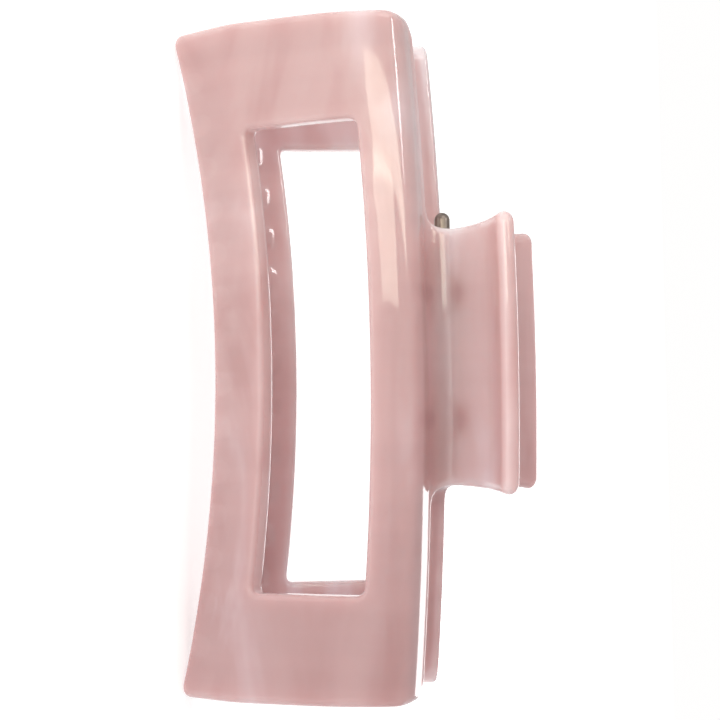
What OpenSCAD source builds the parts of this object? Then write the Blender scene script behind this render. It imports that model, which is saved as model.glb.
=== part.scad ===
// Rectangular hair claw clip: two moulded jaws, a hinge pin and a torsion spring.
// X runs along the hinge, Y is the way the jaws open, Z is up.
// The closed clip stands on its tooth edges, with the finger paddles on top.

/* [Jaw] */
// Length of the clip along the hinge
clip_length = 106.8; // [90:0.1:120]
// How much shorter each end is at the hinge edge than at the tooth edge
end_taper = 0.7; // [0:0.1:1.5]
// Wall thickness of a jaw
wall = 3.4; // [2.8:0.1:3.6]
// How far the middle of the tooth edge stands above its ends
tooth_edge_arch = 6.4; // [3:0.1:8]
// How far the middle of the hinge edge stands above its ends
hinge_edge_arch = 2.3; // [0:0.1:3]
// Half of the window's length
window_half = 36.2; // [28:0.1:38]

/* [Paddle] */
// Half of the paddle's width at its root
paddle_root_half = 19.9; // [16:0.1:24]
// Extra half width at the paddle's tip
paddle_flare = 1.6; // [0:0.1:2]

/* [Teeth] */
// Distance between two teeth of one jaw
tooth_pitch = 7; // [6.5:0.1:7]
// Thickness of a tooth along the hinge
tooth_thickness = 2.5; // [1.8:0.1:2.8]
// Number of teeth on the front jaw; the rear jaw has one fewer
front_teeth = 14; // [10:2:14]

/* [Hinge] */
// Radius of the pin
pin_radius = 1.25; // [1:0.05:1.4]
// How far the pin's proud end stands from the clip's middle
pin_proud = 23.3; // [22:0.1:24]
// How far the pin's other end, just outside its lug, stands from the clip's middle
pin_short = 20.2; // [20:0.1:22]
// Height of the pin's axis
axis_height = 42.6; // [42.2:0.1:43]
// Outer radius of a lug
lug_radius = 3.1; // [2.8:0.1:3.4]
// Width of a lug along the pin
lug_width = 3.6; // [3:0.1:4]
// Distance of each front lug's middle from the clip's middle
front_lug_x = 9.8; // [9.8:0.1:11]
// Distance of each rear lug's middle from the clip's middle
rear_lug_x = 17.8; // [17:0.1:18]
// Radial clearance of the pin in the rear lugs
running_clearance = 0.05; // [0.02:0.01:0.1]

/* [Spring] */
// Diameter of the spring's wire
wire = 1.2; // [1:0.1:1.3]
// Number of turns in the coil
turns = 11; // [9:1:11]

/* [Hidden] */
half = clip_length / 2;
// The outer surface of a jaw in section, as [distance from the parting plane, height], from the
// tooth edge over the front face, the shoulder and the valley to the paddle's tip.
SECTION = [
    [4.2, -1.1], [8, 4.4], [11.6, 10], [13.8, 16.6], [15.8, 23.4], [16.9, 29.8], [16.5, 36.4],
    [13.6, 38.5], [7.7, 39.3], [6.8, 42.8], [9.8, 46.8], [13.4, 49.4], [17.2, 51.5]
];
// Places along the section, counted in SECTION's points
TOOTH_EDGE = 0;
WINDOW_LOW = 2;
WINDOW_HIGH = 5.05;
HINGE_EDGE = 8;
PADDLE_TIP = 12;
// Height over which the arch changes from the tooth edge's to the hinge edge's
ARCH_SPAN = 39;
// Corner sizes in the sheet, as [millimetres along X, section points]
TOOTH_CORNER = [2, 0.35];
HINGE_CORNER = [3, 0.55];
WINDOW_CORNER = [1.5, 0.26];
TIP_CORNER = 1.7;
LONG_STEPS = 16;
SHORT_STEPS = 10;
CORNER_STEPS = 5;
// The frame's cross-section, as [share from window to rim, share of the wall from outside]
BAND = [
    [0, 0.28], [0.05, 0], [0.25, 0], [0.42, 0], [0.58, 0], [0.74, 0], [0.9, 0], [0.97, 0.08], [1, 0.35],
    [1, 0.65], [0.97, 0.92], [0.9, 1], [0.74, 1], [0.58, 1], [0.42, 1], [0.25, 1], [0.05, 1], [0, 0.72]
];
PINK = [0.86, 0.69, 0.7];
STEEL = [0.55, 0.52, 0.5];

// Catmull-Rom curve through points, at a place counted in points
function curve(points, u) =
    let (last = len(points) - 1, i = min(max(floor(u), 0), last - 1), t = u - i)
    let (b = points[i], c = points[i + 1])
    let (a = i > 0 ? points[i - 1] : 2 * b - c, d = i + 2 <= last ? points[i + 2] : 2 * c - b)
    b + ((c - a) * t + (2 * a - 5 * b + 4 * c - d) * t * t + (3 * b - a - 3 * c + d) * t * t * t) / 2;
function unit(v) = v / norm(v);
// Point of the section at place u, depth millimetres inside the outer surface
function section_point(u, depth) =
    let (step = 0.01, along = unit(curve(SECTION, u + step) - curve(SECTION, u - step)))
    curve(SECTION, u) + depth * [-along[1], along[0]];
// Height that the arch adds at place x along the clip and height z in the section
function arch(x, z) =
    (tooth_edge_arch + (hinge_edge_arch - tooth_edge_arch) * min(max(z / ARCH_SPAN, 0), 1))
    * (1 - pow(x / half, 2));
// Point of the front jaw's sheet, before it is lifted to stand at height zero
function low_sheet(x, u, depth) =
    let (p = section_point(u, depth)) [x, -p[0], p[1] + arch(x, p[1])];

// Loop of [x, u] places round a rectangle with elliptic corners: size and end are the half lengths
// at the low and high section places, and the corners are [along X, along the section]
function loop(size, end, low, high, low_corner, high_corner) =
    let (lx = low_corner[0], lu = low_corner[1], hx = high_corner[0], hu = high_corner[1])
    let (turn = 90 / CORNER_STEPS)
    concat(
        [for (i = [0:LONG_STEPS - 1])
            [-size + lx + 2 * (size - lx) * i / LONG_STEPS, low]],
        [for (i = [0:CORNER_STEPS - 1])
            [size - lx + lx * sin(i * turn), low + lu - lu * cos(i * turn)]],
        [for (i = [0:SHORT_STEPS - 1])
            [size + (end - size) * i / SHORT_STEPS,
                low + lu + (high - hu - low - lu) * i / SHORT_STEPS]],
        [for (i = [0:CORNER_STEPS - 1])
            [end - hx + hx * cos(i * turn), high - hu + hu * sin(i * turn)]],
        [for (i = [0:LONG_STEPS - 1])
            [end - hx - 2 * (end - hx) * i / LONG_STEPS, high]],
        [for (i = [0:CORNER_STEPS - 1])
            [-end + hx - hx * sin(i * turn), high - hu + hu * cos(i * turn)]],
        [for (i = [0:SHORT_STEPS - 1])
            [-end - (size - end) * i / SHORT_STEPS,
                high - hu - (high - hu - low - lu) * i / SHORT_STEPS]],
        [for (i = [0:CORNER_STEPS - 1])
            [-size + lx - lx * cos(i * turn), low + lu - lu * sin(i * turn)]]
    );

RIM = loop(half, half - end_taper, TOOTH_EDGE, HINGE_EDGE, TOOTH_CORNER, HINGE_CORNER);
WINDOW = loop(window_half, window_half, WINDOW_LOW, WINDOW_HIGH, WINDOW_CORNER, WINDOW_CORNER);
// How far the jaws are lifted so that their lowest corners stand at height zero
lift = -min([for (i = [0:len(RIM) - 1], b = BAND)
    let (place = WINDOW[i] + (RIM[i] - WINDOW[i]) * b[0])
    low_sheet(place[0], place[1], wall * b[1])[2]]);
function sheet(x, u, depth) = low_sheet(x, u, depth) + [0, 0, lift];

// Faces between rings of the same number of points, closed round each ring
function ring_faces(rings, sides, closed) =
    [for (i = [0:rings - (closed ? 1 : 2)], j = [0:sides - 1])
        let (a = i * sides, b = ((i + 1) % rings) * sides, k = (j + 1) % sides)
        each [[a + j, b + j, b + k], [a + j, b + k, a + k]]];
function cap_faces(rings, sides) =
    [[for (j = [0:sides - 1]) j], [for (j = [sides - 1:-1:0]) (rings - 1) * sides + j]];

// The window frame: a band swept round the window in the curved sheet
module frame() {
    points = [for (i = [0:len(RIM) - 1], b = BAND)
        let (place = WINDOW[i] + (RIM[i] - WINDOW[i]) * b[0])
        sheet(place[0], place[1], wall * b[1])];
    polyhedron(points, ring_faces(len(RIM), len(BAND), true), 4);
}

// Half width of the paddle at place u: a slight flare, and round corners at the tip
function paddle_half(u) =
    let (rise = (u - HINGE_EDGE) / (PADDLE_TIP - HINGE_EDGE), from_tip = (PADDLE_TIP - u) * 4.7)
    let (into = max(TIP_CORNER - from_tip, 0))
    paddle_root_half + paddle_flare * max(rise, 0)
    - (TIP_CORNER - sqrt(pow(TIP_CORNER, 2) - pow(into, 2)));

// The finger paddle: the same sheet, carried on from the shoulder to the tip
module paddle() {
    places = [7.2, 7.6, 8, 8.4, 8.8, 9.2, 9.6, 10, 10.4, 10.8, 11.2, 11.5, 11.75, 11.9, 11.97];
    across = [-1, -0.97, -0.6, -0.2, 0.2, 0.6, 0.97, 1];
    inset = 0.25;
    thin = 0.6;
    points = [for (u = places)
        let (x = paddle_half(u), buried = u < HINGE_EDGE + 0.2 ? inset : 0)
        let (thick = wall - thin * max(u - HINGE_EDGE, 0) / (PADDLE_TIP - HINGE_EDGE))
        each concat(
            [for (a = across) sheet(a * x, u, abs(a) == 1 ? thick * 0.35 : buried)],
            [for (a = [len(across) - 1:-1:0])
                sheet(across[a] * x, u, abs(across[a]) == 1 ? thick * 0.65 : thick - buried)]
        )];
    sides = 2 * len(across);
    polyhedron(points, concat(ring_faces(len(places), sides, false), cap_faces(len(places), sides)), 4);
}

// One tooth in section: a hooked fin from the inside of the rail across the parting plane
module tooth(x) {
    root_high = section_point(1.35, wall * 0.6);
    root_low = section_point(0.4, wall * 0.6);
    tip = [-3.4, 4];
    upper = [for (t = [0:0.125:1])
        let (bend = [4, 6.6]) pow(1 - t, 2) * root_high + 2 * t * (1 - t) * bend + t * t * tip];
    lower = [for (t = [0.2:0.2:1])
        let (bend = [0.5, 2.2]) pow(1 - t, 2) * tip + 2 * t * (1 - t) * bend + t * t * root_low];
    outline = [for (p = concat(upper, lower)) [-p[0], p[1]]];
    translate([x - tooth_thickness / 2, 0, lift + arch(x, 5)])
        rotate([90, 0, 90]) linear_extrude(tooth_thickness) polygon(outline);
}

// Everything of a front jaw that has no bore
module shell(teeth, shift) {
    resize([0, 0, 0]) union() {
        frame();
        paddle();
        for (i = [0:teeth - 1]) tooth((i - (teeth - 1) / 2) * tooth_pitch + shift);
    }
}

// A pair of lugs round the pin, joined to the valley behind the paddle
module lugs(x, bore) {
    web = 5.2;
    for (side = [-1, 1])
        translate([side * x - lug_width / 2, 0, axis_height])
            difference() {
                union() {
                    rotate([0, 90, 0]) cylinder(h = lug_width, r = lug_radius, $fn = 48);
                    translate([0, -6, -web / 2]) cube([lug_width, 6, web]);
                }
                translate([-1, 0, 0]) rotate([0, 90, 0])
                    cylinder(h = lug_width + 2, r = bore, $fn = 48);
            }
}

module front_jaw() {
    color(PINK) union() {
        shell(front_teeth, 0);
        lugs(front_lug_x, pin_radius);
    }
}

module rear_jaw() {
    color(PINK) mirror([0, 1, 0]) union() {
        shell(front_teeth - 1, 0);
        lugs(rear_lug_x, pin_radius + running_clearance);
    }
}

// Steel pin with a domed head at each end
module hinge_pin() {
    low = pin_radius - pin_proud;
    high = pin_short - pin_radius;
    color(STEEL) translate([0, 0, axis_height]) rotate([0, 90, 0]) union() {
        translate([0, 0, low]) cylinder(h = high - low, r = pin_radius, $fn = 48);
        for (end = [low, high]) translate([0, 0, end]) sphere(r = pin_radius, $fn = 48);
    }
}

// Place where a leg of the spring touches the inside of a paddle, from the pin's axis
LEG_END = [5.5, 7.4];
coil_radius = pin_radius + 0.25 + wire / 2;
coil_pitch = wire + 0.08;
leg_length = norm(LEG_END);
tangent_turn = acos(coil_radius / leg_length);
// Angle in the YZ plane at which each leg leaves the coil
front_leg_angle = 180 - atan2(LEG_END[1], LEG_END[0]) - tangent_turn;
rear_leg_angle = atan2(LEG_END[1], LEG_END[0]) + tangent_turn;
coil_sweep = 360 * turns + (rear_leg_angle - front_leg_angle);
coil_steps = 16 * turns;
coil_length = coil_pitch * coil_sweep / 360;
function on_coil(t) =
    let (a = front_leg_angle + coil_sweep * t)
    [-coil_length / 2 + coil_length * t, coil_radius * cos(a), coil_radius * sin(a)];
WIRE_PATH = concat(
    [[-coil_length / 2, -LEG_END[0], LEG_END[1]]],
    [for (i = [0:coil_steps]) on_coil(i / coil_steps)],
    [[coil_length / 2, LEG_END[0], LEG_END[1]]]
);
WIRE_SIDES = 8;

// Steel torsion spring: a close coil round the pin, with a leg behind each paddle
module torsion_spring() {
    last = len(WIRE_PATH) - 1;
    points = [for (i = [0:last])
        let (along = unit(WIRE_PATH[min(i + 1, last)] - WIRE_PATH[max(i - 1, 0)]))
        let (side = unit(cross(along, [1, 0, 0])), up = cross(side, along))
        for (j = [0:WIRE_SIDES - 1])
            let (a = 360 * j / WIRE_SIDES)
            WIRE_PATH[i] + wire / 2 * (cos(a) * side - sin(a) * up)];
    color(STEEL) translate([0, 0, axis_height])
        polyhedron(points, concat(ring_faces(last + 1, WIRE_SIDES, false),
            cap_faces(last + 1, WIRE_SIDES)), 4);
}

front_jaw();
rear_jaw();
hinge_pin();
torsion_spring();
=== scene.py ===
"""Looks of a rectangular hair claw clip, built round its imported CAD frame.

Lengths inside the modelling functions are in millimetres, in the CAD part's frame: X along the
hinge, Y from the front jaw to the rear jaw, Z up from the teeth to the finger paddles. The meshes
are scaled to metres when they are made. Each jaw is one moulding: a signed distance field of the
curved sheet, its window, paddle, lugs and teeth, with every edge rounded, turned into quads.
"""

import math

import bpy
import numpy as np
from mathutils import Matrix, Vector


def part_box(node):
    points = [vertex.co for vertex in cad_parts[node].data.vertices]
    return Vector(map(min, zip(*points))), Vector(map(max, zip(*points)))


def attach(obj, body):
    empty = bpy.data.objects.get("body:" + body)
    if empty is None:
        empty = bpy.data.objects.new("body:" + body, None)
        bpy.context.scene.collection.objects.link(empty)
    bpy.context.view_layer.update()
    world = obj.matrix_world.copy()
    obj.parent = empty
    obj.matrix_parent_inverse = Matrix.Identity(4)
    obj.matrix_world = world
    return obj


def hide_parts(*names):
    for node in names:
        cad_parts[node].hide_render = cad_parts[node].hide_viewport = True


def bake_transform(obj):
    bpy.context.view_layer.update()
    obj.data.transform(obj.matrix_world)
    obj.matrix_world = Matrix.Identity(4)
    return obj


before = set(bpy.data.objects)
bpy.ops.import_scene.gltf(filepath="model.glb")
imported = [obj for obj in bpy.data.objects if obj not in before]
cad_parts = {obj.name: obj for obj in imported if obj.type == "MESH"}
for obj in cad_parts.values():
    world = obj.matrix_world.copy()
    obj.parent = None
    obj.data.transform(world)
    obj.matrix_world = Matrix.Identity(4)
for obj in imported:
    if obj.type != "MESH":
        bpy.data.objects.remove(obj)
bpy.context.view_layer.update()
MM = 0.001

# Driving dimensions, the same as the CAD part's, in millimetres
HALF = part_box("front_jaw")[1].x / MM
WALL = 3.4
TIP_WALL = 2.8
TOOTH_EDGE_ARCH = 6.4
HINGE_EDGE_ARCH = 2.3
ARCH_SPAN = 39.0
END_TAPER = 0.7
WINDOW_HALF = 36.2
PADDLE_ROOT_HALF = 19.9
PADDLE_FLARE = 1.6
TOOTH_PITCH = 7.0
TOOTH_THICKNESS = 2.5
FRONT_TEETH = 14
AXIS_HEIGHT = (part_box("hinge_pin")[0].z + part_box("hinge_pin")[1].z) / 2 / MM
PIN_RADIUS = (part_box("hinge_pin")[1].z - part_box("hinge_pin")[0].z) / 2 / MM
PIN_ENDS = (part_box("hinge_pin")[0].x / MM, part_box("hinge_pin")[1].x / MM)
LUG_RADIUS = 3.1
LUG_WIDTH = 3.6
FRONT_LUG_X = 9.8
REAR_LUG_X = 17.8
RUNNING_CLEARANCE = 0.05
WIRE = 1.2
TURNS = 11
LEG_END = (5.5, 7.4)

# The outer surface of a jaw in section, as (distance from the parting plane, height), from the
# tooth edge over the front face, the shoulder and the valley to the paddle's tip
SECTION = [
    (4.2, -1.1), (8, 4.4), (11.6, 10), (13.8, 16.6), (15.8, 23.4), (16.9, 29.8), (16.5, 36.4),
    (13.6, 38.5), (7.7, 39.3), (6.8, 42.8), (9.8, 46.8), (13.4, 49.4), (17.2, 51.5),
]
# How far the jaws stand above the section's own heights, so that their corners meet the floor
LIFT = 0.077
# Places of the sheet's features, counted in points of SECTION
TOOTH_EDGE_AT = 0
WINDOW_LOW_AT = 2
WINDOW_HIGH_AT = 5.05
HINGE_EDGE_AT = 8
PADDLE_TIP_AT = len(SECTION) - 1

# Rounding of the sheet's edges, and of its corners seen square on
EDGE_ROUND = 1.45
HINGE_EDGE_ROUND = 0.5
HINGE_EDGE_REACH = 3.0
WINDOW_ROUND = 0.9
WINDOW_CORNER = 1.3
TOOTH_CORNER = 2.2
HINGE_CORNER = 3.2
TIP_CORNER = 1.8
# How far the paddle's outline starts below the hinge edge, and the fillet at its root
PADDLE_OVERLAP = 6.0
PLAN_FILLET = 4.0
# Rounding of a tooth's rim and sides, and its fillet with the sheet
TOOTH_ROUND = 0.6
TOOTH_SIDE_ROUND = 0.5
TOOTH_FILLET = 1.2
# Rounding of a lug, its fillets, and the web that joins its barrel to the sheet
LUG_ROUND = 0.4
LUG_FILLET = 1.0
WEB_FILLET = 0.6
WEB_HALF_LENGTH = 2.6
WEB_HALF_HEIGHT = 0.84 * LUG_RADIUS
# Gap between the pin and the coil, and between one turn and the next
COIL_CLEARANCE = 0.25
TURN_GAP = 0.08
# Painted glow and shade on the plastic: paler where more plastic lies behind the skin, as painted
# light through it. The depths below the skin that count, the blur over the surface, what the ends
# add, the painted light on the inner face, the painted sheen on the paddle and the painted shade
# over the lugs, and the most on the outer face
GLOW_DEPTHS = np.arange(0.5, 8.1, 0.5)
GLOW_BLUR = 2.4
PALER_AT_ENDS = 0.15
INSIDE_PAINTED_LIGHT = 0.45
PADDLE_PAINTED_SHEEN = 0.35
LUG_PAINTED_SHADE = -0.5
GLOW_OUTSIDE_MOST = 0.55
# Where each of these starts and where it is full: from the middle for the ends, in height for the
# rest; and the painted shade over a lug, with its spread along and up and how far it sits above the pin
ENDS_SPAN = (46, 53)
INSIDE_SPAN = (37, 33)
PADDLE_SPAN = (41, 45.5)
PADDLE_TIP_SPAN = (55.5, 51.5)
LUG_SHADE_SPREAD = (1.7, 2.0)
LUG_SHADE_RISE = 0.8
VALLEY_DEPTH = 4.0
# Side of a cell of the grid that the jaws are meshed on
CELL = 0.4


def between(value, start, end):
    """Zero up to start, one from end on and straight in between; end may be the lower one."""
    return np.clip((value - start) / (end - start), 0, 1)


def catmull_rom(points, places):
    """Points of a Catmull-Rom curve at places counted in points."""
    p = np.array(points, float)
    p = np.vstack([2 * p[0] - p[1], p, 2 * p[-1] - p[-2]])
    i = np.clip(np.floor(places).astype(int), 0, len(points) - 2)
    t = (places - i)[:, None]
    a, b, c, d = p[i], p[i + 1], p[i + 2], p[i + 3]
    return b + ((c - a) * t + (2 * a - 5 * b + 4 * c - d) * t**2 + (3 * b - a - 3 * c + d) * t**3) / 2


def smoothed(values, count):
    """Values blurred along their first axis, with straight ends."""
    kernel = np.hanning(2 * count + 1)
    kernel /= kernel.sum()
    ends = np.arange(1, count + 1)[:, None]
    before = values[0] - (values[1] - values[0]) * ends[::-1]
    after = values[-1] + (values[-1] - values[-2]) * ends
    padded = np.vstack([before, values, after])
    return np.stack([np.convolve(padded[:, k], kernel, "valid") for k in range(values.shape[1])], 1)


class Section:
    """The jaw's outer curve, which turns (distance from parting plane, height) into (place, depth).

    The curve is a table of points STEP apart, run on straight by RUN_OUT at both ends. A search
    for the nearest one starts from a coarse grid, with its low corner, pitch and shape in STARTS.
    """

    STEP = 0.05
    RUN_OUT = 7.0
    POINT_BLUR = 1.1
    TANGENT_BLUR = 0.6
    STARTS_LOW = (-8.0, -9.0)
    STARTS_PITCH = 0.25
    STARTS_SHAPE = (144, 290)

    def __init__(self):
        places = np.linspace(0, len(SECTION) - 1, 4000)
        line = catmull_rom(SECTION, places)
        along = np.r_[0, np.cumsum(np.linalg.norm(np.diff(line, axis=0), axis=1))]
        self.tooth_edge, self.window_low, self.window_high, self.hinge_edge, self.paddle_tip = (
            np.interp((TOOTH_EDGE_AT, WINDOW_LOW_AT, WINDOW_HIGH_AT, HINGE_EDGE_AT, PADDLE_TIP_AT),
                      places, along))
        grid = np.arange(-self.RUN_OUT, along[-1] + self.RUN_OUT, self.STEP)
        inside = np.stack([np.interp(grid, along, line[:, k]) for k in range(2)], 1)
        first = (line[1] - line[0]) / np.linalg.norm(line[1] - line[0])
        last = (line[-1] - line[-2]) / np.linalg.norm(line[-1] - line[-2])
        inside += first * np.minimum(grid, 0)[:, None] + last * np.maximum(grid - along[-1], 0)[:, None]
        curve = smoothed(inside, int(self.POINT_BLUR / self.STEP))
        tangent = np.gradient(curve, self.STEP, axis=0)
        tangent /= np.linalg.norm(tangent, axis=1)[:, None]
        tangent = smoothed(tangent, int(self.TANGENT_BLUR / self.STEP))
        normal = np.stack([-tangent[:, 1], tangent[:, 0]], 1)
        bend = (np.gradient(tangent, self.STEP, axis=0) * normal).sum(1)
        self.table = np.column_stack([curve, tangent, bend])
        self.start = self.nearest_starts(curve)

    def nearest_starts(self, curve):
        """A coarse grid of each spot's nearest place on the curve, to start the search from."""
        y = self.STARTS_LOW[0] + self.STARTS_PITCH * np.arange(self.STARTS_SHAPE[0])
        z = self.STARTS_LOW[1] + self.STARTS_PITCH * np.arange(self.STARTS_SHAPE[1])
        points = np.stack(np.meshgrid(y, z, indexing="ij"), -1).reshape(-1, 2)
        every = 4
        sparse = curve[::every]
        nearest = np.concatenate([
            ((part[:, None] - sparse[None]) ** 2).sum(-1).argmin(1)
            for part in np.array_split(points, 40)
        ])
        return (nearest * every * self.STEP).reshape(self.STARTS_SHAPE)

    def coordinates(self, y, z):
        """Place along the curve from the tooth edge, and depth inside the outer surface."""
        i = ((y - self.STARTS_LOW[0]) / self.STARTS_PITCH + 0.5).astype(int)
        j = ((z - self.STARTS_LOW[1]) / self.STARTS_PITCH + 0.5).astype(int)
        s = self.start[np.clip(i, 0, self.STARTS_SHAPE[0] - 1), np.clip(j, 0, self.STARTS_SHAPE[1] - 1)]
        last = (len(self.table) - 2) * self.STEP
        for _ in range(4):
            row = self.lookup(s)
            dy, dz = y - row[:, 0], z - row[:, 1]
            off = dy * row[:, 2] + dz * row[:, 3]
            depth = -dy * row[:, 3] + dz * row[:, 2]
            s = np.clip(s + np.clip(off / np.maximum(1 - row[:, 4] * depth, 0.25), -1, 1), 0, last)
        row = self.lookup(s)
        dy, dz = y - row[:, 0], z - row[:, 1]
        depth = -dy * row[:, 3] + dz * row[:, 2]
        over = dy * row[:, 2] + dz * row[:, 3]
        return s - self.RUN_OUT + over, depth

    def lookup(self, s):
        """Rows of the table at distances s along it: point, tangent and bend."""
        at = s / self.STEP
        i = np.clip(at.astype(int), 0, len(self.table) - 2)
        f = (at - i)[:, None]
        return self.table[i] * (1 - f) + self.table[i + 1] * f


def smooth_min(a, b, size):
    """The lower of two distances, with a fillet of about that size where they meet."""
    h = np.maximum(size - np.abs(a - b), 0) / size
    return np.minimum(a, b) - h * h * size / 4


def rounded_both(a, b, radius):
    """Inside both a and b, with the edge between them rounded to a radius."""
    p, q = a + radius, b + radius
    return np.minimum(np.maximum(p, q), 0) + np.hypot(np.maximum(p, 0), np.maximum(q, 0)) - radius


def rounded_box(x, y, half_x, half_y, radius):
    """Distance to a rectangle with round corners."""
    p, q = np.abs(x) - half_x + radius, np.abs(y) - half_y + radius
    return np.minimum(np.maximum(p, q), 0) + np.hypot(np.maximum(p, 0), np.maximum(q, 0)) - radius


def polygon_distance(px, py, outline):
    """Signed distance to a closed outline, negative inside."""
    points = np.array(outline, float)
    best = np.full(px.shape, 1e9)
    inside = np.zeros(px.shape, bool)
    for a, b in zip(points, np.roll(points, -1, axis=0)):
        edge = b - a
        t = np.clip(((px - a[0]) * edge[0] + (py - a[1]) * edge[1]) / (edge @ edge), 0, 1)
        best = np.minimum(best, (px - a[0] - t * edge[0]) ** 2 + (py - a[1] - t * edge[1]) ** 2)
        if a[1] != b[1]:
            crosses = (a[1] > py) != (b[1] > py)
            inside ^= crosses & (px < a[0] + (py - a[1]) * edge[0] / edge[1])
    return np.where(inside, -1, 1) * np.sqrt(best)


def bezier(a, b, c, places):
    """Points of a quadratic curve from a to c, drawn toward b."""
    t = np.array(places)[:, None]
    return (1 - t) ** 2 * np.array(a) + 2 * t * (1 - t) * np.array(b) + t**2 * np.array(c)


SHEET = Section()
# A tooth's skeleton in section, above the tooth edge's arch; it grows by TOOTH_ROUND on every side
TOOTH_OUTLINE = np.vstack([
    bezier((8.2, 7.1), (4.2, 6), (-2.8, 4), np.linspace(0, 1, 8)),
    bezier((-2.8, 4), (0.7, 2.9), (5, 2.2), np.linspace(0.1, 1, 6)),
])


def section_heights(x, z):
    """Heights in the flat section of points of the arched jaw."""
    share = 1 - (x / HALF) ** 2
    z = z - LIFT
    flat = (z - TOOTH_EDGE_ARCH * share) / (1 + (HINGE_EDGE_ARCH - TOOTH_EDGE_ARCH) / ARCH_SPAN * share)
    flat = np.where(flat > ARCH_SPAN, z - HINGE_EDGE_ARCH * share, flat)
    return np.where(flat < 0, z - TOOTH_EDGE_ARCH * share, flat)


def arch_at_teeth(x):
    """How far the arch lifts the tooth at x, taken at one height so that the tooth stays straight."""
    height = 5.0
    rise = TOOTH_EDGE_ARCH + (HINGE_EDGE_ARCH - TOOTH_EDGE_ARCH) * height / ARCH_SPAN
    return LIFT + rise * (1 - (x / HALF) ** 2)


def jaw_distance(points, teeth, lug_x, bore):
    """Signed distance to a front jaw's moulding, in millimetres, negative inside."""
    x, y, z = points[:, 0], -points[:, 1], points[:, 2]
    place, depth = SHEET.coordinates(y, section_heights(x, z))
    rise = between(place, SHEET.hinge_edge, SHEET.paddle_tip)
    wall = WALL + (TIP_WALL - WALL) * rise
    sheet = np.abs(depth - wall / 2) - wall / 2

    middle = (SHEET.tooth_edge + SHEET.hinge_edge) / 2
    corner = np.where(place > middle, HINGE_CORNER, TOOTH_CORNER)
    taper = END_TAPER * between(place, SHEET.tooth_edge, SHEET.hinge_edge)
    rim = rounded_box(x, place - middle, HALF - taper, SHEET.hinge_edge - middle, corner)
    half_paddle = PADDLE_ROOT_HALF + PADDLE_FLARE * rise**1.5
    paddle_middle = (SHEET.hinge_edge - PADDLE_OVERLAP + SHEET.paddle_tip) / 2
    paddle = rounded_box(x * PADDLE_ROOT_HALF / half_paddle, place - paddle_middle,
                         PADDLE_ROOT_HALF, SHEET.paddle_tip - paddle_middle, TIP_CORNER)
    outline = smooth_min(rim, paddle, PLAN_FILLET)
    window_middle = (SHEET.window_low + SHEET.window_high) / 2
    window = rounded_box(x, place - window_middle, WINDOW_HALF,
                         SHEET.window_high - window_middle, WINDOW_CORNER)
    at_hinge = np.exp(-(((place - SHEET.hinge_edge) / HINGE_EDGE_REACH) ** 2))
    body = rounded_both(sheet, outline, EDGE_ROUND + (HINGE_EDGE_ROUND - EDGE_ROUND) * at_hinge)
    body = rounded_both(body, -window, WINDOW_ROUND)

    reach = (teeth - 1) / 2
    tooth_x = (np.clip(np.round(x / TOOTH_PITCH + reach), 0, teeth - 1) - reach) * TOOTH_PITCH
    fin = polygon_distance(y, z - arch_at_teeth(tooth_x), TOOTH_OUTLINE) - TOOTH_ROUND
    tooth = rounded_both(fin, np.abs(x - tooth_x) - TOOTH_THICKNESS / 2, TOOTH_SIDE_ROUND)
    body = smooth_min(body, tooth, TOOTH_FILLET)

    from_lug = np.abs(np.abs(x) - lug_x) - LUG_WIDTH / 2
    up = z - AXIS_HEIGHT
    ring = np.hypot(y, up) - LUG_RADIUS
    web = np.maximum(np.abs(up) - WEB_HALF_HEIGHT, np.abs(y - WEB_HALF_LENGTH) - WEB_HALF_LENGTH)
    lug = rounded_both(smooth_min(ring, web, WEB_FILLET), from_lug, LUG_ROUND)
    body = smooth_min(body, lug, LUG_FILLET)
    return np.maximum(body, bore - np.hypot(y, up))


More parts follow.
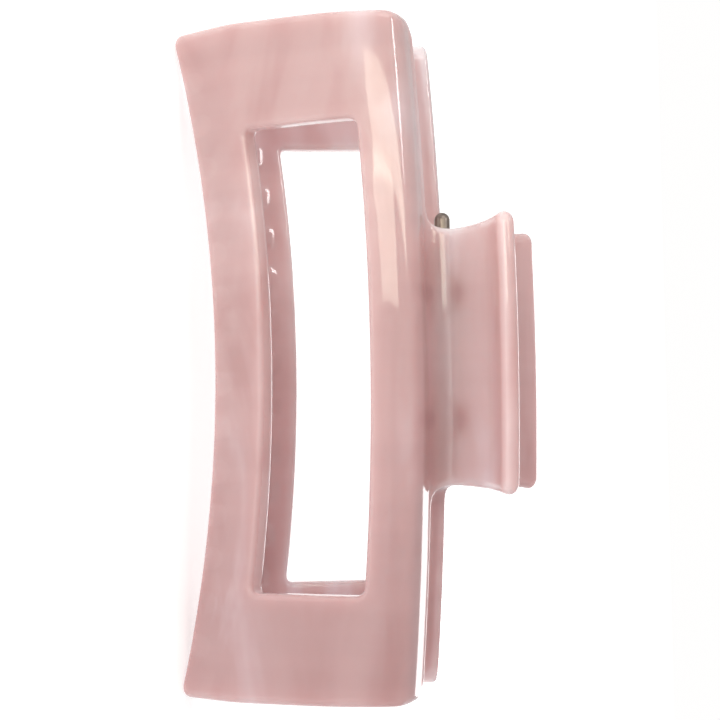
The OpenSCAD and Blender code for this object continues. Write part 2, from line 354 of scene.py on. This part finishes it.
def surface_quads(distance, low, high, cell):
    """Vertices and quads of the surface where distance is zero, from a grid of cells."""
    axes = [np.arange(low[k] - cell, high[k] + 2 * cell, cell) for k in range(3)]
    shape = tuple(len(a) for a in axes)
    points = np.stack(np.meshgrid(*axes, indexing="ij"), -1).reshape(-1, 3)
    field = np.concatenate([distance(part) for part in np.array_split(points, 24)]).reshape(shape)
    inside = field < 0
    cells = tuple(n - 1 for n in shape)
    # Each cell that the surface crosses gets one vertex, at the mean of the crossings on its edges
    total, count = np.zeros(cells + (3,)), np.zeros(cells)
    for axis in range(3):
        a = [slice(None)] * 3
        b = [slice(None)] * 3
        a[axis], b[axis] = slice(0, -1), slice(1, None)
        va, vb = field[tuple(a)], field[tuple(b)]
        crossed = (va < 0) != (vb < 0)
        cut = np.where(crossed, va / np.where(crossed, va - vb, 1), 0)
        others = [k for k in range(3) if k != axis]
        for i in (0, 1):
            for j in (0, 1):
                pick = [slice(None)] * 3
                pick[others[0]] = slice(i, shape[others[0]] - 1 + i)
                pick[others[1]] = slice(j, shape[others[1]] - 1 + j)
                hit = crossed[tuple(pick)]
                count += hit
                total[..., axis] += np.where(hit, cut[tuple(pick)], 0)
                total[..., others[0]] += hit * i
                total[..., others[1]] += hit * j
    used = count > 0
    number = np.full(cells, -1)
    number[used] = np.arange(used.sum())
    origin = np.array([a[0] for a in axes])
    places = (np.argwhere(used) + total[used] / count[used][:, None]) * cell + origin
    # Each grid edge that the surface crosses gets one quad, between the four cells round the edge
    quads = []
    for axis in range(3):
        others = [k for k in range(3) if k != axis]
        a = [slice(1, -1)] * 3
        b = [slice(1, -1)] * 3
        a[axis], b[axis] = slice(0, -1), slice(1, None)
        start, end = inside[tuple(a)], inside[tuple(b)]
        at = np.argwhere(start != end)
        leaving = start[start != end]
        base = at.copy()
        base[:, others[0]] += 1
        base[:, others[1]] += 1
        corners = []
        for i, j in ((-1, -1), (0, -1), (0, 0), (-1, 0)):
            c = base.copy()
            c[:, others[0]] += i
            c[:, others[1]] += j
            corners.append(number[c[:, 0], c[:, 1], c[:, 2]])
        quad = np.stack(corners, 1)
        flip = leaving if axis != 1 else ~leaving
        quad[~flip] = quad[~flip][:, ::-1]
        quads.append(quad)
    return places, np.vstack(quads)


def gradient(distance, points, reach):
    """The distance field's slope at each point."""
    steps = []
    for k in range(3):
        move = np.zeros(3)
        move[k] = reach
        steps.append((distance(points + move) - distance(points - move)) / (2 * reach))
    return np.stack(steps, 1)


def unit_rows(v):
    """The rows of v at length one."""
    return v / np.maximum(np.linalg.norm(v, axis=1), 1e-9)[:, None]


def spread(values, quads, rounds):
    """Vertex values blurred over the mesh."""
    ends = np.vstack([quads[:, [k, (k + 1) % 4]] for k in range(4)])
    count = np.bincount(ends.ravel(), minlength=len(values))
    for _ in range(rounds):
        total = np.bincount(ends[:, 0], values[ends[:, 1]], len(values))
        total += np.bincount(ends[:, 1], values[ends[:, 0]], len(values))
        values = 0.5 * values + 0.5 * total / count
    return values


def painted_glow_and_shade(distance, points, normals, quads, lug_x):
    """Painted glow and shade on the front jaw's plastic at each vertex, from about 0 to 1.

    It grows with the plastic behind the skin, as painted light through it, toward the ends, as
    painted light on the inner face below the shoulder and as painted sheen on the paddle's outer
    face, and it falls over the lugs as painted shade.
    """
    behind = np.zeros(len(points))
    # Painted glow: the more plastic lies behind the skin, the paler, standing in for light through it
    for depth in GLOW_DEPTHS:
        behind += distance(points - normals * depth) < 0
    blur_rounds = round(GLOW_BLUR / CELL) ** 2 // 2
    painted_light_amount = spread(behind / len(GLOW_DEPTHS), quads, blur_rounds)
    along, height = np.abs(points[:, 0]), points[:, 2]
    inward, outward = np.clip(normals[:, 1], 0, 1), np.clip(-2 * normals[:, 1], 0, 1)

    # Painted shade over each lug, on the paddle's side of the valley
    up = height - AXIS_HEIGHT - LUG_SHADE_RISE
    from_lug = ((along - lug_x) / LUG_SHADE_SPREAD[0]) ** 2 + (up / LUG_SHADE_SPREAD[1]) ** 2
    lug_shaded = np.clip(painted_light_amount + LUG_PAINTED_SHADE * np.exp(-from_lug / 2), 0, 1)
    painted_light_amount = np.where(points[:, 1] < -VALLEY_DEPTH, lug_shaded, painted_light_amount)
    # Paler toward the ends
    painted_light_amount += PALER_AT_ENDS * between(along, *ENDS_SPAN) ** 2
    painted_light_amount = np.minimum(painted_light_amount, 1 - (1 - GLOW_OUTSIDE_MOST) * outward)
    # Painted light on the inner face below the shoulder
    painted_light_amount += INSIDE_PAINTED_LIGHT * inward * between(height, *INSIDE_SPAN)
    # Painted sheen on the paddle's outer face
    on_paddle = between(height, *PADDLE_SPAN) * between(height, *PADDLE_TIP_SPAN)
    painted_light_amount += PADDLE_PAINTED_SHEEN * outward * on_paddle
    return painted_light_amount


def jaw_mesh(name, teeth, lug_x, bore, side):
    """One jaw's object. It is built as a front jaw; side is 1 for that and -1 for its mirror image."""

    def distance(points):
        return jaw_distance(points, teeth, lug_x, bore)

    # The front jaw's space reaches past the parting plane, where the teeth cross it
    low, high = (-HALF, -18.2, -0.5), (HALF, 4.2, 56.5)
    points, quads = surface_quads(distance, low, high, CELL)
    # Each round brings the vertices nearer to the true surface
    for _ in range(3):
        slope = gradient(distance, points, 0.05)
        size = np.maximum((slope**2).sum(1), 0.3)
        points -= slope * np.clip(distance(points) / size, -CELL / 2, CELL / 2)[:, None]
    normals = unit_rows(gradient(distance, points, 0.06))
    # Painted glow and shade, kept on the mesh for the plastic's colour
    painted_light_amount = painted_glow_and_shade(distance, points, normals, quads, lug_x).astype(np.float32)
    if side < 0:
        points = points * [1, -1, 1]
        normals = normals * [1, -1, 1]
        quads = quads[:, ::-1]
    mesh = bpy.data.meshes.new(name)
    mesh.from_pydata((points * MM).tolist(), [], quads.tolist())
    mesh.validate()
    mesh.polygons.foreach_set("use_smooth", np.ones(len(mesh.polygons), bool))
    mesh.normals_split_custom_set_from_vertices(normals.tolist())
    mesh.attributes.new("painted_glow_and_shade", "FLOAT", "POINT").data.foreach_set("value", painted_light_amount)
    return bpy.data.objects.new(name, mesh)


def smooth_object(name, vertices, faces):
    """An object with smooth faces, from vertices in millimetres about the hinge's axis."""
    mesh = bpy.data.meshes.new(name)
    mesh.from_pydata([(x * MM, y * MM, (z + AXIS_HEIGHT) * MM) for x, y, z in vertices], [], faces)
    mesh.polygons.foreach_set("use_smooth", np.ones(len(mesh.polygons), bool))
    return bpy.data.objects.new(name, mesh)


def lathe(name, profile, sides):
    """A closed solid turned about X, from (along, radius) points whose ends lie on the axis."""
    turn = np.linspace(0, 2 * np.pi, sides, endpoint=False)
    rings = [
        (along, radius * math.cos(a), radius * math.sin(a))
        for along, radius in profile[1:-1] for a in turn
    ]
    first, last = len(rings), len(rings) + 1
    vertices = rings + [(profile[0][0], 0, 0), (profile[-1][0], 0, 0)]
    faces = []
    count = len(profile) - 2
    for i in range(count - 1):
        for j in range(sides):
            k = (j + 1) % sides
            faces.append((i * sides + j, i * sides + k, (i + 1) * sides + k, (i + 1) * sides + j))
    for j in range(sides):
        k = (j + 1) % sides
        faces.append((first, k, j))
        faces.append((last, (count - 1) * sides + j, (count - 1) * sides + k))
    return smooth_object(name, vertices, faces)


def pin():
    """The steel pin: a drawn wire with a domed end on each side."""
    dome = [math.radians(a) for a in range(0, 91, 10)]
    low, high = PIN_ENDS[0] + PIN_RADIUS, PIN_ENDS[1] - PIN_RADIUS
    left = [(low - PIN_RADIUS * math.cos(a), PIN_RADIUS * math.sin(a)) for a in dome]
    right = [(high + PIN_RADIUS * math.cos(a), PIN_RADIUS * math.sin(a)) for a in dome[::-1]]
    return lathe("hinge_pin_wire", left + right, 40)


def tube(name, path, radius, sides):
    """A round wire swept along a path that goes round X, with domed ends."""
    path = np.array(path, float)
    along = unit_rows(np.gradient(path, axis=0))
    dome = [math.radians(a) for a in (75, 50, 25)]
    starts = [
        (path[0] - along[0] * radius * math.sin(a), radius * math.cos(a), along[0])
        for a in dome
    ]
    ends = [
        (path[-1] + along[-1] * radius * math.sin(a), radius * math.cos(a), along[-1])
        for a in dome[::-1]
    ]
    stations = starts + [(p, radius, t) for p, t in zip(path, along)] + ends
    vertices, faces = [], []
    for centre, size, direction in stations:
        across = np.cross(direction, [1.0, 0, 0])
        across /= np.linalg.norm(across)
        up = np.cross(across, direction)
        for j in range(sides):
            a = 2 * math.pi * j / sides
            vertices.append(centre + size * (math.cos(a) * across - math.sin(a) * up))
    for i in range(len(stations) - 1):
        for j in range(sides):
            k = (j + 1) % sides
            faces.append((i * sides + j, i * sides + k, (i + 1) * sides + k, (i + 1) * sides + j))
    faces.append(tuple(reversed(range(sides))))
    faces.append(tuple((len(stations) - 1) * sides + j for j in range(sides)))
    return smooth_object(name, vertices, faces)


def spring():
    """The torsion spring: a close coil round the pin, with a leg behind each paddle."""
    radius = PIN_RADIUS + COIL_CLEARANCE + WIRE / 2
    pitch = WIRE + TURN_GAP
    # Each leg runs straight from its end to where it touches the coil
    lean = math.atan2(LEG_END[1], LEG_END[0])
    tangent_turn = math.acos(radius / math.hypot(*LEG_END))
    first = math.pi - lean - tangent_turn
    sweep = 2 * math.pi * TURNS + (lean + tangent_turn) - first
    length = pitch * sweep / (2 * math.pi)
    steps = 40 * TURNS
    coil = []
    for i in range(steps + 1):
        t = i / steps
        a = first + sweep * t
        coil.append((length * (t - 0.5), radius * math.cos(a), radius * math.sin(a)))
    front_end = np.array((-length / 2, -LEG_END[0], LEG_END[1]))
    rear_end = np.array((length / 2, LEG_END[0], LEG_END[1]))
    leg_steps = 12
    front_leg, rear_leg = (
        [end + (np.array(start) - end) * i / leg_steps for i in range(leg_steps)]
        for end, start in ((front_end, coil[0]), (rear_end, coil[-1]))
    )
    wire = tube("torsion_spring_wire", front_leg + coil + rear_leg[::-1], WIRE / 2, 12)
    bpy.context.scene.collection.objects.link(wire)
    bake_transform(wire)
    return wire


def new_material(name):
    """A node material: (material, its nodes, its links, its shader)."""
    material = bpy.data.materials.new(name)
    material.use_nodes = True
    nodes, links = material.node_tree.nodes, material.node_tree.links
    return material, nodes, links, nodes["Principled BSDF"]


def noise(nodes, links, vector, scale, detail, roughness=0.5, distortion=0.0):
    """A noise texture's value at vector, which is in metres."""
    node = nodes.new("ShaderNodeTexNoise")
    node.inputs["Scale"].default_value = scale
    node.inputs["Detail"].default_value = detail
    node.inputs["Roughness"].default_value = roughness
    node.inputs["Distortion"].default_value = distortion
    links.new(vector, node.inputs["Vector"])
    return node.outputs["Fac"]


def stretched(nodes, links, vector, scale):
    """The vector scaled on each axis, so that a pattern on it runs longer where scale is small."""
    node = nodes.new("ShaderNodeMapping")
    node.inputs["Scale"].default_value = scale
    links.new(vector, node.inputs["Vector"])
    return node.outputs["Vector"]


def ranged(nodes, links, value, low, high):
    """A value from 0 to 1 brought to the range from low to high."""
    node = nodes.new("ShaderNodeMapRange")
    node.inputs["To Min"].default_value = low
    node.inputs["To Max"].default_value = high
    links.new(value, node.inputs["Value"])
    return node.outputs["Result"]


def bump(nodes, links, shader, height, strength, distance):
    """Raises the shader's surface by height, with distance in metres."""
    node = nodes.new("ShaderNodeBump")
    node.inputs["Strength"].default_value = strength
    node.inputs["Distance"].default_value = distance
    links.new(height, node.inputs["Height"])
    links.new(node.outputs["Normal"], shader.inputs["Normal"])


def ramp(nodes, links, source, stops):
    """A colour ramp over source, with stops of (position, colour)."""
    node = nodes.new("ShaderNodeValToRGB")
    node.color_ramp.interpolation = "EASE"
    while len(node.color_ramp.elements) < len(stops):
        node.color_ramp.elements.new(0.5)
    for element, (at, colour) in zip(node.color_ramp.elements, stops):
        element.position = at
        element.color = (*colour, 1)
    links.new(source, node.inputs["Fac"])
    return node.outputs["Color"]


def multiplied(nodes, links, a, b):
    """Two colours multiplied."""
    node = nodes.new("ShaderNodeMix")
    node.data_type = "RGBA"
    node.blend_type = "MULTIPLY"
    node.inputs["Factor"].default_value = 1.0
    links.new(a, node.inputs["A"])
    links.new(b, node.inputs["B"])
    return node.outputs["Result"]


def plastic_colour(nodes, links, where, flow):
    """Pink with flow swirls, painted glow and shade from the mesh's attribute, bands across the length
    and painted shade toward the +X end.
    """
    swirl = noise(nodes, links, flow, 48, 3, 0.45, 1.4)
    pink = ramp(nodes, links, swirl, [
        (0.28, (0.485, 0.305, 0.3)),
        (0.5, (0.54, 0.378, 0.375)),
        (0.72, (0.6, 0.475, 0.49)),
    ])
    # Painted glow and shade from the mesh's attribute: darker where the wall is thin, paler where
    # plastic lies behind, on the inner face and on the paddle, darker over the lugs
    painted_light_amount = nodes.new("ShaderNodeAttribute")
    painted_light_amount.attribute_name = "painted_glow_and_shade"
    painted_light_tint = ramp(nodes, links, painted_light_amount.outputs["Fac"], [
        (0.0, (0.86, 0.78, 0.8)),
        (0.3, (0.99, 0.97, 0.97)),
        (0.5, (1.0, 0.99, 0.99)),
        (0.8, (1.27, 1.49, 1.52)),
        (1.0, (1.36, 1.6, 1.62)),
    ])
    across = stretched(nodes, links, where, (1, 0.05, 0.05))
    stripe = noise(nodes, links, across, 160, 2)
    veil = ramp(nodes, links, stripe, [(0.35, (0.975, 0.972, 0.972)), (0.65, (1.02, 1.025, 1.025))])
    # Painted shade: the colour darkens toward the +X end between these two places along the clip, in
    # metres
    along = nodes.new("ShaderNodeSeparateXYZ")
    links.new(where, along.inputs["Vector"])
    plus_x_shade_share = nodes.new("ShaderNodeMapRange")
    plus_x_shade_share.inputs["From Min"].default_value = -0.03
    plus_x_shade_share.inputs["From Max"].default_value = 0.04
    links.new(along.outputs["X"], plus_x_shade_share.inputs["Value"])
    painted_shade_to_plus_x = ramp(nodes, links, plus_x_shade_share.outputs["Result"], [
        (0.0, (1.0, 1.0, 1.0)),
        (1.0, (0.9, 0.84, 0.85)),
    ])
    colour = multiplied(nodes, links, pink, painted_light_tint)
    colour = multiplied(nodes, links, colour, veil)
    return multiplied(nodes, links, colour, painted_shade_to_plus_x)


def pink_plastic():
    """Glossy milky pink plastic, with faint flow swirls, painted glow and shade, and a slightly wavy
    skin.
    """
    material, nodes, links, shader = new_material("pink_plastic")
    where = nodes.new("ShaderNodeTexCoord").outputs["Object"]
    flow = stretched(nodes, links, where, (0.45, 1, 1))
    links.new(plastic_colour(nodes, links, where, flow), shader.inputs["Base Color"])
    skin = noise(nodes, links, where, 420, 4)
    links.new(ranged(nodes, links, skin, 0.04, 0.09), shader.inputs["Roughness"])
    bump(nodes, links, shader, noise(nodes, links, flow, 170, 2), 0.12, 0.0006)
    shader.inputs["Subsurface Weight"].default_value = 1.0
    shader.inputs["Subsurface Radius"].default_value = (1.0, 0.8, 0.78)
    shader.inputs["Subsurface Scale"].default_value = 0.007
    shader.inputs["IOR"].default_value = 1.5
    shader.inputs["Specular IOR Level"].default_value = 0.8
    return material


def steel(name, colour, dull):
    """Drawn steel wire with fine lengthwise streaks and a little tarnish."""
    material, nodes, links, shader = new_material(name)
    where = nodes.new("ShaderNodeTexCoord").outputs["Object"]
    streaks = noise(nodes, links, stretched(nodes, links, where, (0.06, 1, 1)), 2600, 3)
    tarnish = noise(nodes, links, where, 500, 3)
    dark = tuple(c * 0.7 for c in colour)
    links.new(ramp(nodes, links, tarnish, [(0.3, dark), (0.65, colour)]), shader.inputs["Base Color"])
    links.new(ranged(nodes, links, streaks, dull - 0.08, dull + 0.1), shader.inputs["Roughness"])
    bump(nodes, links, shader, streaks, 0.2, 0.00005)
    shader.inputs["Metallic"].default_value = 1.0
    return material


def show(obj, body, node, material):
    """Puts a finished piece in the scene in place of its CAD node, on a body unless it is blended."""
    if obj.name not in bpy.context.scene.collection.objects:
        bpy.context.scene.collection.objects.link(obj)
    obj.data.materials.append(material)
    if body:
        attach(obj, body)
    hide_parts(node)


def floor():
    """Plain near-white floor, large enough to reach the horizon."""
    half = 6.0
    corners = [(-half, -half, 0), (half, -half, 0), (half, half, 0), (-half, half, 0)]
    mesh = bpy.data.meshes.new("floor")
    mesh.from_pydata(corners, [], [(0, 1, 2, 3)])
    obj = bpy.data.objects.new("floor", mesh)
    bpy.context.scene.collection.objects.link(obj)
    material, _, _, shader = new_material("floor_white")
    shader.inputs["Base Color"].default_value = (0.93, 0.93, 0.93, 1)
    shader.inputs["Emission Color"].default_value = (1, 1, 1, 1)
    shader.inputs["Emission Strength"].default_value = 0.45
    shader.inputs["Roughness"].default_value = 0.9
    shader.inputs["Specular IOR Level"].default_value = 0.1
    obj.data.materials.append(material)


def area_light(name, target, direction, distance, size, energy, colour=(1, 1, 1)):
    """A soft box that looks at target from the given direction. Lengths are in millimetres."""
    data = bpy.data.lights.new(name, "AREA")
    data.shape = "RECTANGLE"
    data.size, data.size_y = size[0] * MM, size[1] * MM
    data.energy = energy
    data.color = colour
    obj = bpy.data.objects.new(name, data)
    bpy.context.scene.collection.objects.link(obj)
    away = Vector(direction).normalized()
    obj.location = (Vector(target) + away * distance) * MM
    obj.rotation_mode = "QUATERNION"
    obj.rotation_quaternion = away.to_track_quat("Z", "Y")


def studio():
    """Near-white surroundings, dimmer on the object than behind it, and the soft lights."""
    world = bpy.data.worlds.new("studio")
    bpy.context.scene.world = world
    world.use_nodes = True
    nodes, links = world.node_tree.nodes, world.node_tree.links
    background = nodes["Background"]
    background.inputs["Color"].default_value = (1, 0.995, 0.99, 1)
    seen_directly = nodes.new("ShaderNodeLightPath").outputs["Is Camera Ray"]
    links.new(ranged(nodes, links, seen_directly, 0.65, 1.0), background.inputs["Strength"])

    # A tall window in front of the -X end, and a lower pane beside it, seen in the gloss
    cream = (1, 0.98, 0.8)
    area_light("window_light", (-75, -17, 200), (0, -1, 0), 200, (34, 396), 0.165, cream)
    area_light("lower_window", (-43, -17, 44), (0, -1, 0), 200, (40, 82), 0.034, cream)
    # Soft boxes beyond the -X end, behind the clip and above it
    area_light("key_light", (-40, 0, 28), (-0.7, -0.5, 0.5), 300, (200, 200), 0.2, (1, 0.98, 0.96))
    area_light("back_light", (0, 17, 28), (0.1, 0.95, 0.25), 600, (300, 300), 0.6)
    area_light("rim_light", (0, 0, 28), (-0.35, -0.25, 0.9), 500, (150, 60), 0.25)


def camera():
    """The photograph's viewpoint: from in front of the clip, with the clip's left end at the top."""
    place = Vector((12.39, -278.56, 80.75)) * MM
    # The view starts level and square to the clip, with the picture's top toward -X. It is then
    # turned down toward the clip, tilted along it and rolled about the line of sight, in radians.
    turn, tilt, roll = 0.184, 0.044, 0.017
    right, up, forward = Vector((0, 0, 1)), Vector((-1, 0, 0)), Vector((0, 1, 0))
    forward, right = (
        forward * math.cos(turn) - right * math.sin(turn),
        right * math.cos(turn) + forward * math.sin(turn),
    )
    forward, up = (
        forward * math.cos(tilt) + up * math.sin(tilt),
        up * math.cos(tilt) - forward * math.sin(tilt),
    )
    right, up = (
        right * math.cos(roll) - up * math.sin(roll),
        up * math.cos(roll) + right * math.sin(roll),
    )
    data = bpy.data.cameras.new("camera")
    data.sensor_width = 36
    data.lens = 88.275
    data.clip_start, data.clip_end = 0.01, 30
    obj = bpy.data.objects.new("camera", data)
    bpy.context.scene.collection.objects.link(obj)
    obj.matrix_world = Matrix((
        (right.x, up.x, -forward.x, place.x),
        (right.y, up.y, -forward.y, place.y),
        (right.z, up.z, -forward.z, place.z),
        (0, 0, 0, 1),
    ))
    bpy.context.scene.camera = obj


plastic = pink_plastic()
front_jaw = jaw_mesh("front_jaw_moulding", FRONT_TEETH, FRONT_LUG_X, PIN_RADIUS, 1)
show(front_jaw, "front", "front_jaw", plastic)
rear_jaw = jaw_mesh("rear_jaw_moulding", FRONT_TEETH - 1, REAR_LUG_X, PIN_RADIUS + RUNNING_CLEARANCE, -1)
show(rear_jaw, "rear", "rear_jaw", plastic)
show(pin(), "front", "hinge_pin", steel("pin_steel", (0.28, 0.23, 0.2), 0.34))
show(spring(), None, "torsion_spring", steel("spring_steel", (0.5, 0.47, 0.44), 0.28))
floor()
studio()
camera()
bpy.context.scene.view_settings.view_transform = "Standard"
